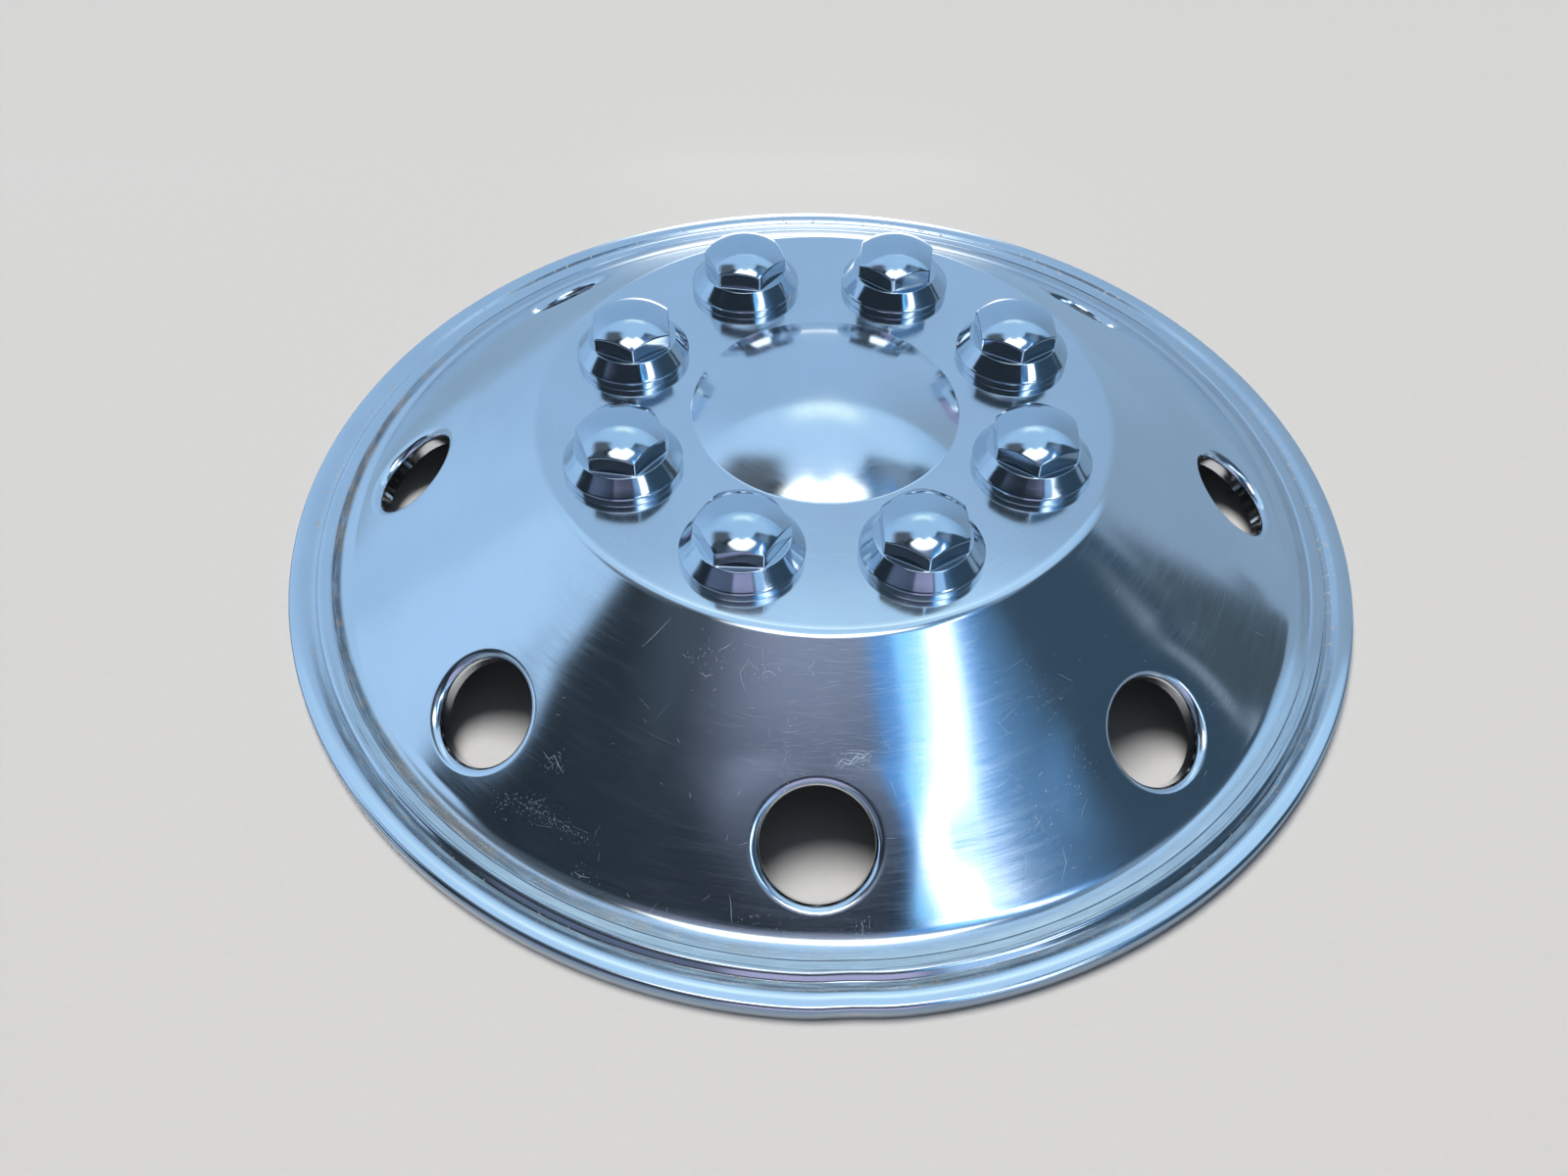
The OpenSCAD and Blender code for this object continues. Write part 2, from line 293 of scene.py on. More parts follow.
def liner_rows(corners):
    """Points along the liner's face, bends rounded."""
    rows = [corners[0][0]]
    for (before, _), (tip, bend), (after, _) in zip(corners, corners[1:], corners[2:]):
        a, b = (tip - before).normalized(), (after - tip).normalized()
        turn = math.acos(max(-1, min(1, a.dot(b))))
        side = 1 if b.dot(right_of(a)) > 0 else -1
        start = tip - a * bend * math.tan(turn / 2)
        centre = start + right_of(a) * bend * side
        step = 1.5 if bend > 0.05 else 9  # degrees, finer on the wide bend of the hub dome
        count = max(3, round(math.degrees(turn) / step))
        for k in range(count + 1):
            t = -side * turn * k / count
            c, n = math.cos(t), math.sin(t)
            v = start - centre
            rows.append(centre + Vector((v.x * c - v.y * n, v.x * n + v.y * c)))
    rows.append(corners[-1][0])
    out = [rows[0]]
    for p in rows[1:]:
        if (p - out[-1]).length > 0.02 * MM:
            out.append(p)
    return out


def split_rows(rows, *radii):
    """Cuts the rows at these radii, each of which lies on a straight stretch."""
    parts, current = [], [rows[0]]
    todo = list(radii)
    for p, q in zip(rows, rows[1:]):
        while todo and p.x < todo[0] * MM <= q.x:
            t = (todo.pop(0) * MM - p.x) / (q.x - p.x)
            cut = p.lerp(q, t)
            current.append(cut)
            parts.append(current)
            current = [cut]
        if (q - current[-1]).length > 1e-7:
            current.append(q)
    parts.append(current)
    return parts


# The liner's mesh


def add_ring(bm, points):
    return [bm.verts.new(p) for p in points]


def join_rings(bm, a, b):
    """Faces between two closed rings of the same length."""
    n = len(a)
    for k in range(n):
        m = (k + 1) % n
        bm.faces.new((a[k], b[k], b[m], a[m]))


def add_turned(bm, rows, columns, offsets):
    """Revolved band. offsets turn the first row and the others, in degrees."""
    rings = []
    for k, p in enumerate(rows):
        offset = offsets[min(k, 1)]
        if p.x < 1e-7:
            rings.append([bm.verts.new((0, 0, p.y))])
            continue
        rings.append(add_ring(bm, [polar(offset + 360 * c / columns, p.x, p.y) for c in range(columns)]))
    for a, b in zip(rings, rings[1:]):
        if len(a) == 1:
            for k in range(columns):
                bm.faces.new((a[0], b[k], b[(k + 1) % columns]))
        else:
            join_rings(bm, a, b)


def hole_frame(azimuth, radius, height, slope):
    """Centre, sideways, downhill and outward directions of a hole in a cone of that slope."""
    a = math.radians(azimuth)
    out = Vector((math.sin(a), -math.cos(a), 0))
    side = Vector((math.cos(a), math.sin(a), 0))
    up = Vector((0, 0, 1))
    c, n = math.cos(slope), math.sin(slope)
    return out * radius + up * height, side, out * c - up * n, out * n + up * c


def cone_drop(u, w, radius, slope):
    """Depth of the cone below the plane that touches it at a hole's centre."""
    a = radius + w * math.cos(slope)
    root = math.sqrt(max(0, 1 + math.cos(2 * slope) * u * u / (a * a)))
    return -u * u * math.sin(slope) / (a * (1 + root))


def eased_drop(u, w, hole, slope):
    """The cone's drop, a little pulled up toward the hole by the press that rolled its edge."""
    drop = cone_drop(u, w, hole["radius"], slope)
    if not hole["ease"]:
        return drop
    rho = math.hypot(u, w)
    reach = hole["ease"] * (1 + PRESS_ASIDE * (u / rho) ** 2)
    x = min(1, max(0, rho - hole["edge"]) / reach)
    return drop * (1 - PRESS_PULL * (1 - x * x * (3 - 2 * x)))


def patch_edge(low, high, per, side_count):
    """(azimuth, share of the way down) round the patch of a band that holds one hole."""
    wide = high - low
    points = [(low + wide * i / per, 0.0) for i in range(per)]
    points += [(high, i / side_count) for i in range(side_count)]
    points += [(high - wide * i / per, 1.0) for i in range(per)]
    points += [(low, 1 - i / side_count) for i in range(side_count)]
    return points


def add_pierced(bm, start, end, columns, hole):
    """Straight band from start to end with a ring of holes. hole["ease"] is the reach of the press's pull
    round each, and hole["lip"] has the rows that follow its edge."""
    count, half = hole["count"], 180 / hole["count"]
    slope = math.atan2(start.y - end.y, end.x - start.x)
    t = (hole["radius"] - start.x) / (end.x - start.x)
    height = start.y + t * (end.y - start.y)
    for k in range(count):
        middle = hole["azimuth"] + k * 360 / count
        centre, side, down, out = hole_frame(middle, hole["radius"], height, slope)
        ring, polars = [], []
        edge = patch_edge(middle - half, middle + half, columns // count, hole["side_count"])
        for azimuth, along in edge:
            p = start.lerp(end, along)
            q = polar(azimuth, p.x, p.y)
            ring.append(bm.verts.new(q))
            v = q - centre
            polars.append((math.atan2(v.dot(down), v.dot(side)), math.hypot(v.dot(down), v.dot(side))))
        rings = [ring]
        for m in range(1, hole["rings"] + 1):
            f = (1 - m / hole["rings"]) ** 1.6  # closer together toward the hole
            points = []
            for angle, far in polars:
                rho = hole["edge"] + (far - hole["edge"]) * f
                u, w = rho * math.cos(angle), rho * math.sin(angle)
                h = eased_drop(u, w, hole, slope)
                points.append(centre + side * u + down * w + out * h)
            rings.append(add_ring(bm, points))
        dips = [eased_drop(hole["edge"] * math.cos(a), hole["edge"] * math.sin(a), hole, slope)
                for a, _ in polars]
        for rho, h, level in hole["lip"]:
            rings.append(add_ring(bm, [
                centre + side * (rho * math.cos(a)) + down * (rho * math.sin(a)) + out * (h + dip * level)
                for (a, _), dip in zip(polars, dips)]))
        for a, b in zip(rings, rings[1:]):
            join_rings(bm, b, a)


def rolled_lip(edge, roll, depth):
    """(radius, height, share of the edge's own waviness) of a hand hole's rolled edge and neck."""
    lip = []
    for k in range(1, 9):
        t = math.radians(90 * k / 8)
        lip.append((edge - roll * math.sin(t), -roll * (1 - math.cos(t)), 1.0))
    lip.append((edge - roll, -roll - 1.5 * MM, 0.6))
    lip.append((edge - roll, -depth, 0.0))
    return lip


def liner_mesh(s, cover):
    """The liner's bright face as one surface."""
    bm = bmesh.new()
    rows = liner_rows(liner_corners(s, cover))
    foot = next(p.x for p in rows if p.y < FOOT_TOP * MM) / MM
    hub, land, upper, cone, rim = split_rows(rows, HUB_END, LAND_END, CONE_START, foot)
    per_turn = 360 / s.columns
    turned = math.degrees(s.hand_turn) + 180 / HAND_HOLES
    shift = turned - per_turn * round(turned / per_turn)
    add_turned(bm, hub, s.columns, (0, 0))
    add_pierced(bm, land[0], land[-1], s.columns, {
        "count": NUTS, "azimuth": FIRST_NUT, "radius": cover.circle, "edge": cover.neck + 0.2 * MM,
        "side_count": 16, "rings": 5, "ease": 0, "lip": []})
    add_turned(bm, upper, s.columns, (0, shift))
    add_pierced(bm, cone[0], cone[-1], s.columns, {
        "count": HAND_HOLES, "azimuth": math.degrees(s.hand_turn), "radius": s.hand_circle,
        "edge": s.hand_edge, "side_count": 24, "rings": 12, "ease": 6.8 * MM,
        "lip": rolled_lip(s.hand_edge, s.hand_roll, s.hand_neck)})
    add_turned(bm, rim, s.columns, (shift, shift))
    bmesh.ops.remove_doubles(bm, verts=bm.verts, dist=2e-6)
    bmesh.ops.recalc_face_normals(bm, faces=bm.faces)
    bm.faces.ensure_lookup_table()
    top = max(bm.faces, key=lambda f: f.calc_center_median().z)
    if top.normal.z < 0:
        bmesh.ops.reverse_faces(bm, faces=bm.faces)
    for v in bm.verts:
        dent_rim(v)
    return bm


def dent_rim(v):
    """The shallow knock at the front of the rim."""
    radius = math.hypot(v.co.x, v.co.y)
    inward = radius - KNOCK_START * MM
    if inward < 0 or v.co.y > 0:
        return
    azimuth = math.degrees(math.atan2(v.co.x, -v.co.y))
    fall = math.exp(-((azimuth - KNOCK_AT) / KNOCK_SPREAD) ** 2)
    push = KNOCK_DEPTH * MM * fall * min(1, inward / (KNOCK_FADE * MM))
    v.co.x *= 1 - push / radius
    v.co.y *= 1 - push / radius


# Finishes


def turned_coordinates(tree):
    """The shaded point's place, its distance from the axis in millimetres and its angle round it."""
    place = own_place(tree)
    xyz = node(tree, "ShaderNodeSeparateXYZ", {0: place}).outputs
    flat = node(tree, "ShaderNodeCombineXYZ", {0: xyz[0], 1: xyz[1]}).outputs[0]
    length = node(tree, "ShaderNodeVectorMath", {0: flat}, operation="LENGTH").outputs["Value"]
    return place, times(tree, length, 1000.0), calc(tree, "ARCTAN2", xyz[0], times(tree, xyz[1], -1.0))


def lathe_noise(tree, radius, angle, per_mm, per_turn, detail=3):
    """Noise drawn out round the axis, as a polishing wheel leaves it. It closes on itself behind."""
    turn = node(tree, "ShaderNodeCombineXYZ", {
        0: times(tree, radius, per_mm), 1: times(tree, calc(tree, "SINE", angle), per_turn),
        2: times(tree, calc(tree, "COSINE", angle), per_turn)}).outputs[0]
    return noise(tree, turn, 1.0, detail)


def rim_grime_and_shade(tree, place, radius, angle):
    """Shares of darkening and of caked dirt in the rim's gutter, on its step and in its groove. The
    darkening is grime and painted shade: heavier to the left in the gutter, stronger toward the front on
    the step, painted shade in the groove at the front, and painted dark rings.
    """
    left = between(tree, angle, -2.3, -1.7, -0.75, 0.15)
    front = ramp(tree, calc(tree, "ABSOLUTE", angle), 0.95, 1.35, 1.0, 0.0)
    gutter = between(tree, radius, 196.8, 199.0, 201.2, 202.0)
    step = between(tree, radius, 202.0, 202.6, 206.0, 207.0)
    groove = between(tree, radius, 208.0, 208.7, 211.6, 212.6)
    # Darkening in the gutter, heavier to the left
    grime_and_shade = times(tree, gutter, calc(tree, "MULTIPLY_ADD", left, 0.68, 0.30))
    # Darkening on the step, stronger toward the front
    grime_and_shade = calc(tree, "MAXIMUM", grime_and_shade, times(tree, step, calc(tree, "MULTIPLY_ADD", front, 0.40, 0.04)))
    # Painted shade in the groove, at the front
    grime_and_shade = calc(tree, "MAXIMUM", grime_and_shade, times(tree, groove, times(tree, front, 0.85)))
    # Painted dark lines along these rings at the front, the inner one painted shade
    for ring in DARK_RINGS:
        off = calc(tree, "ABSOLUTE", calc(tree, "SUBTRACT", radius, ring))
        grime_and_shade = calc(tree, "MAXIMUM", grime_and_shade, times(tree, ramp(tree, off, 0.15, 0.45, 0.75, 0.0), front))
    streaky = lathe_noise(tree, radius, angle, 0.9, 16.0, 4)
    grime_and_shade = times(tree, grime_and_shade, ramp(tree, streaky, 0.25, 0.6, 0.6, 1.0))
    patchy = ramp(tree, noise(tree, place, 55.0, 6.0, 0.75), 0.42, 0.60)
    caked = times(tree, gutter, times(tree, patchy, calc(tree, "MULTIPLY_ADD", left, 0.40, 0.03)))
    grit = times(tree, groove, ramp(tree, noise(tree, place, 420.0, 2.0), 0.60, 0.70, 0.0, 0.5))
    return grime_and_shade, calc(tree, "MAXIMUM", caked, grit)


def polished_steel(colours):
    """Polished sheet with the fine rings of the polishing wheel, haze, and grime and painted shade on the
    rim.
    """
    material, tree, shader = new_material("polished_steel")
    place, radius, angle = turned_coordinates(tree)
    fine = lathe_noise(tree, radius, angle, 5.5, 14.0)
    broad = lathe_noise(tree, radius, angle, 0.5, 5.0)
    grime_and_shade, crust = rim_grime_and_shade(tree, place, radius, angle)
    steel = blend_colour(tree, ramp(tree, noise(tree, place, 22.0, 4.0), 0.35, 0.7),
                         opaque(colours.steel), opaque(colours.steel, 0.95))
    # The rim's grime and painted shade darken the steel toward a quarter of its colour
    steel = blend_colour(tree, grime_and_shade, steel, opaque(colours.steel, 0.24))
    rough = calc(tree, "ADD", ramp(tree, fine, 0.3, 0.7, 0.11, 0.165),
                 ramp(tree, broad, 0.45, 0.75, 0.0, 0.03))
    rough = calc(tree, "ADD", rough, times(tree, grime_and_shade, 0.12))
    bump = node(tree, "ShaderNodeBump", {"Height": fine, "Strength": 0.05, "Distance": 0.02 * MM})
    feed(shader, {
        "Base Color": blend_colour(tree, crust, steel, opaque(colours.dirt)),
        "Metallic": calc(tree, "SUBTRACT", 1.0, crust),
        "Roughness": calc(tree, "MAXIMUM", rough, times(tree, crust, 0.7)),
        "Anisotropic": 0.55,
        "Anisotropic Rotation": 0.25,
        "Tangent": node(tree, "ShaderNodeTangent", direction_type="RADIAL", axis="Z").outputs[0],
        "Normal": bump.outputs[0],
    })
    return material


def sheet_back(colours):
    """Unpolished back of the sheet, with a mill grain and a little dust."""
    material, tree, shader = new_material("sheet_back")
    place = own_place(tree)
    drawn = node(tree, "ShaderNodeMapping", {"Vector": place, "Scale": (40.0, 1400.0, 40.0)}).outputs[0]
    dust = ramp(tree, noise(tree, place, 30.0, 5.0), 0.4, 0.75)
    feed(shader, {
        "Base Color": blend_colour(tree, dust, opaque(colours.back), opaque(colours.back, 0.72)),
        "Metallic": 1.0,
        "Roughness": ramp(tree, noise(tree, drawn, 1.0, 3.0), 0.3, 0.7, 0.34, 0.5),
    })
    return material


def bright_chrome(colours):
    """Plating with a faint haze and fine handling marks."""
    material, tree, shader = new_material("bright_chrome")
    place = own_place(tree)
    haze = noise(tree, place, 90.0, 4.0)
    drawn = node(tree, "ShaderNodeMapping", {"Vector": place, "Rotation": (0.3, 0.5, 0.8),
                                             "Scale": (60.0, 2600.0, 900.0)}).outputs[0]
    marks = ramp(tree, noise(tree, drawn, 1.0, 2.0), 0.62, 0.72, 0.0, 0.09)
    feed(shader, {
        "Base Color": blend_colour(tree, ramp(tree, haze, 0.4, 0.7), opaque(colours.chrome),
                                   opaque(colours.chrome, 0.96)),
        "Metallic": 1.0,
        "Roughness": calc(tree, "ADD", ramp(tree, haze, 0.3, 0.7, 0.075, 0.11), marks),
    })
    return material


def scuffed_steel():
    """Bright torn metal at the bottom of a scratch."""
    material, tree, shader = new_material("scuffed_steel")
    grit = noise(tree, own_place(tree), 900.0, 2.0)
    feed(shader, {
        "Base Color": blend_colour(tree, grit, (0.75, 0.80, 0.86, 1), (0.95, 0.97, 1.0, 1)),
        "Metallic": 0.85,
        "Roughness": ramp(tree, grit, 0.3, 0.7, 0.42, 0.62),
    })
    return material


def zinc_steel():
    """Dull zinc plating with crystals."""
    material, tree, shader = new_material("zinc_steel")
    cells = node(tree, "ShaderNodeTexVoronoi", {"Vector": own_place(tree), "Scale": 320.0})
    value = node(tree, "ShaderNodeSeparateColor", {0: cells.outputs["Color"]}).outputs[0]
    feed(shader, {
        "Base Color": blend_colour(tree, value, (0.46, 0.47, 0.49, 1), (0.60, 0.61, 0.63, 1)),
        "Metallic": 1.0,
        "Roughness": ramp(tree, value, 0.0, 1.0, 0.32, 0.46),
    })
    return material


def moulded_nylon():
    """Black moulded nylon with a fine spark-eroded grain."""
    material, tree, shader = new_material("moulded_nylon")
    grain = noise(tree, own_place(tree), 1500.0, 3.0)
    bump = node(tree, "ShaderNodeBump", {"Height": grain, "Strength": 0.25, "Distance": 0.1 * MM})
    feed(shader, {
        "Base Color": blend_colour(tree, grain, (0.018, 0.018, 0.019, 1), (0.032, 0.032, 0.034, 1)),
        "Roughness": ramp(tree, grain, 0.3, 0.7, 0.5, 0.68),
        "Normal": bump.outputs[0],
    })
    return material


# The lug nut covers' mesh


def hex_radius(angle, flat):
    """Radius of a hexagon with blunt corners. Its corners lie at 0, 60, 120 degrees and so on."""
    total = sum(max(0.0, math.cos(math.radians(angle - 30 - 60 * k))) ** BLUNT for k in range(6))
    return flat * total ** (-1 / BLUNT)


def cover_columns():
    """Angles round a cover, close together at the hexagon's corners."""
    near = (0, 0.8, 1.6, 2.6, 4, 6, 9, 13, 18, 24)
    fan = sorted(set(near) | {30} | {60 - a for a in near if a})
    return [60 * k + a for k in range(6) for a in fan]


def domed_rows(angle, s, inset):
    """Section of the hexagon and its domed top, from the middle outward, with an eased edge."""
    ball, centre = s.dome - inset, s.top - s.dome
    far = hex_radius(angle, s.flat - inset)
    ease = 0.45 * MM

    def rise(r):
        return centre + math.sqrt(ball * ball - r * r)

    rows = [((far - ease) * k / 12, rise((far - ease) * k / 12)) for k in range(1, 13)]
    a = Vector((far - ease, rise(far - ease)))
    b = Vector((far, rise(far)))
    c = Vector((far, rise(far) - ease))
    for k in range(1, 5):
        t = k / 4
        p = a * (1 - t) ** 2 + b * 2 * t * (1 - t) + c * t * t
        rows.append((p.x, p.y))
    return rows, far


def cover_section(angle, s):
    """The whole closed section of a cover at one angle, as (radius, height), without the two poles."""
    rows, far = domed_rows(angle, s, 0)
    inside, near = domed_rows(angle, s, s.wall)
    bore, end = s.neck - s.wall, -s.neck_length

    def at_flange(points, base=0.0):
        return [(s.flange - inward * MM, base + height * MM) for inward, height in points]

    # Down the hexagon's side, out over the ledge, down the bevel and round the flange
    rows += [(far, s.ledge + 3 * MM), (far, s.ledge + 0.35 * MM), (far + 0.1 * MM, s.ledge + 0.1 * MM),
             (far + 0.3 * MM, s.ledge)]
    rows += at_flange(LEDGE_EDGE, s.ledge)
    foot = at_flange(BEVEL_FOOT)
    rows += [tuple(Vector(rows[-1]).lerp(Vector(foot[0]), 0.5))] + foot + at_flange(FLANGE_EDGE)
    # Up in the hollow behind the bevel, down outside the neck, up inside it and under the top
    rows += [(s.flange - s.wall, 0.1 * MM), (s.flange - s.wall, 3.0 * MM), (s.neck, 8.3 * MM)]
    rows += [(s.neck, 0.0), (s.neck, end + 0.3 * MM), (s.neck - 0.3 * MM, end), (s.neck - 0.9 * MM, end)]
    rows += [(bore, end + 0.3 * MM), (bore, 0.0), (bore, s.ledge - s.wall),
             (near, s.ledge - s.wall + 0.02 * MM)]
    return rows + inside[::-1]


def cover_mesh(s):
    """One lug nut cover, its flange's underside at height 0."""
    bm = bmesh.new()
    columns = cover_columns()
    sections = [cover_section(a, s) for a in columns]
    rings = []
    for k in range(len(sections[0])):
        ring = []
        for angle, section in zip(columns, sections):
            r, z = section[k]
            a = math.radians(angle)
            ring.append(bm.verts.new((r * math.cos(a), r * math.sin(a), z)))
        rings.append(ring)
    for a, b in zip(rings, rings[1:]):
        join_rings(bm, a, b)
    top, roof = bm.verts.new((0, 0, s.top)), bm.verts.new((0, 0, s.top - s.wall))
    n = len(columns)
    for k in range(n):
        bm.faces.new((top, rings[0][k], rings[0][(k + 1) % n]))
        bm.faces.new((roof, rings[-1][(k + 1) % n], rings[-1][k]))
    bmesh.ops.recalc_face_normals(bm, faces=bm.faces)
    return bm


# Scratches

# Each mark: width, then its points as angle from the front and distance from the axis, in degrees and mm
MARKS = [
    (0.22, [(-0.1, 149.3), (0.6, 147.0), (1.6, 148.3), (2.4, 146.0), (3.4, 146.6), (4.2, 145.1)]),
    (0.18, [(-0.4, 148.6), (0.9, 146.4), (1.9, 147.4), (2.9, 145.3), (3.9, 145.6), (5.0, 144.4)]),
    (0.16, [(0.3, 149.6), (1.2, 147.7), (2.1, 148.0), (3.0, 146.3), (4.4, 146.2)]),
    (0.18, [(0.6, 145.3), (1.9, 144.9), (3.2, 145.2), (3.8, 147.2), (2.6, 147.6)]),
    (0.14, [(1.2, 144.3), (2.4, 144.2), (3.6, 144.6), (4.6, 145.9), (4.1, 147.9)]),
    (0.22, [(-20.9, 128.4), (-19.8, 129.0), (-18.7, 127.9)]),
    (0.16, [(-19.9, 130.1), (-19.4, 127.9)]),
    (0.19, [(-11.4, 124.5), (-10.2, 123.9), (-9.2, 125.0)]),
    (0.19, [(-19.0, 121.3), (-17.9, 119.7), (-17.1, 118.2)]),
    (0.14, [(-31.0, 127.7), (-30.2, 124.6), (-29.2, 120.3), (-28.4, 117.0)]),
    (0.16, [(-36.4, 183.1), (-35.3, 182.8)]),
    (0.19, [(-34.2, 182.5), (-33.0, 182.2)]),
    (0.16, [(-31.8, 181.6), (-30.9, 181.3)]),
    (0.16, [(-29.6, 180.9), (-27.6, 180.7)]),
    (0.19, [(-36.8, 167.3), (-35.7, 168.3), (-35.3, 166.5), (-34.2, 168.3), (-33.2, 169.5)]),
    (0.16, [(-35.3, 171.0), (-34.8, 168.4)]),
    (0.22, [(-27.4, 192.0), (-26.6, 192.3), (-25.6, 191.7)]),
    (0.14, [(-11.1, 185.5), (-10.8, 187.4), (-10.6, 190.5), (-10.4, 192.6)]),
    (0.22, [(-8.8, 190.0), (-7.9, 189.4)]),
    (0.14, [(2.4, 189.8), (2.5, 191.4), (2.4, 193.4)]),
    (0.14, [(3.2, 189.6), (3.1, 192.2)]),
    (0.19, [(7.6, 160.2), (9.2, 160.0)]),
    (0.19, [(19.8, 160.8), (21.1, 160.1)]),
    (0.14, [(23.0, 171.8), (23.6, 176.0)]),
    (0.14, [(24.0, 172.5), (22.5, 175.4)]),
    (0.14, [(24.9, 182.5), (24.7, 186.9), (23.5, 191.3)]),
    (0.14, [(20.5, 179.8), (20.5, 183.4), (19.6, 186.5)]),
]


# Each rubbed patch: angle from the front, distance from the axis, spread across and down in mm, strokes
RUBBED = (
    (-37.5, 184.0, 3.0, 2.4, 60),
    (-34.5, 182.0, 3.0, 1.5, 90),
    (-31.5, 182.0, 3.0, 1.2, 60),
    (-28.5, 183.0, 3.0, 1.0, 30),
    (-34.6, 168.0, 2.0, 2.0, 50),
    (-20.5, 124.0, 4.5, 4.0, 60),
    (-11.0, 124.5, 3.5, 2.0, 40),
    (-6.5, 142.0, 0.8, 9.0, 80),
    (-26.5, 191.2, 2.4, 1.4, 18),
    (-7.5, 191.0, 4.0, 1.6, 22),
    (3.0, 191.0, 4.5, 1.6, 34),
    (2.2, 146.6, 3.6, 1.0, 70),
    (21.5, 161.0, 3.0, 2.5, 20),
    (23.5, 174.0, 2.5, 3.0, 26),
    (30.0, 143.0, 3.5, 4.5, 30),
    (31.0, 166.0, 4.0, 3.0, 26),
    (25.0, 186.0, 4.0, 3.0, 24),
    (52.0, 178.0, 4.0, 4.0, 18),
    (-52.0, 150.0, 3.0, 3.0, 12),
    (-58.0, 182.0, 3.5, 3.0, 14),
)


def ribbon(bm, surface, points, width):
    """A thin flat strip that lies on the liner along these points."""
    spine = []
    for azimuth, radius in points:
        start = polar(azimuth, radius * MM, 0.2)
        hit, normal, _, _ = surface.ray_cast(start, Vector((0, 0, -1)))
        if hit is None or normal.z < 0.3:
            return
        spine.append((hit + normal * (MARK_LIFT * MM), normal))
    left, right = [], []
    last = len(spine) - 1
    for k, (p, normal) in enumerate(spine):
        run = spine[min(k + 1, last)][0] - spine[max(k - 1, 0)][0]
        side = normal.cross(run)
        if side.length < 1e-9:
            return
        half = width * MM / 2 * (0.25 if k in (0, last) else 1)
        side = side.normalized() * half
        left.append(bm.verts.new(p + side))
        right.append(bm.verts.new(p - side))
    for k in range(last):
        bm.faces.new((left[k], right[k], right[k + 1], left[k + 1]))


def stroke(azimuth, radius, length, heading, curl, steps):
    """Points of a slightly curved stroke that starts at a place on the liner."""
    points = []
    for _ in range(steps + 1):
        points.append((azimuth, radius))
        heading += curl / steps
        radius += length / steps * math.sin(heading)
        azimuth += math.degrees(length / steps * math.cos(heading) / radius)
    return points


def handling_marks(rng):
    """Fine single strokes anywhere on the cone and the land."""
    marks = []
    for _ in range(HANDLING_MARKS):
        azimuth = rng.choice((rng.uniform(-180, 180), rng.gauss(0, 45)))
        radius = rng.choice((rng.uniform(118, 192), rng.uniform(118, 192), rng.uniform(60, 108)))
        length = rng.choice((rng.uniform(0.5, 2.5), rng.uniform(1.5, 7)))
        marks.append((rng.uniform(0.035, 0.08), stroke(azimuth, radius, length, rng.uniform(0, math.pi),
                                                       rng.uniform(-0.3, 0.3), 4)))
    return marks


def rubbed_patch(rng, azimuth, radius, across, down, count):
    """Many tiny strokes close together, spread round a place by millimetres across and down the slope."""
    marks = []
    for _ in range(count):
        far = radius + rng.gauss(0, down)
        turned = azimuth + math.degrees(rng.gauss(0, across) / radius)
        length = rng.choice((rng.uniform(0.12, 0.35), rng.uniform(0.12, 0.35), rng.uniform(0.3, 0.8)))
        marks.append((rng.uniform(0.07, 0.15), stroke(turned, far, length, rng.uniform(0, math.pi), 0, 2)))
    return marks


def polishing_strokes(rng):
    """Hair-thin strokes that run round the upper cone at the front."""
    return [(rng.uniform(0.02, 0.035), stroke(rng.gauss(2, 9), rng.uniform(116, 152), rng.uniform(3, 12),
                                              rng.gauss(0, 0.12), 0, 3))
            for _ in range(POLISHING_STROKES)]


def wear(rng):
    """All the marks of use: the named ones, the rubbed patches and the stray ones."""
    marks = MARKS + handling_marks(rng) + polishing_strokes(rng)
    for patch in RUBBED:
        marks += rubbed_patch(rng, *patch)
    for _ in range(STRAY_PATCHES):
        marks += rubbed_patch(rng, rng.uniform(-180, 180), rng.uniform(120, 190), 3, 3, rng.randint(4, 12))
    return marks


# The stage

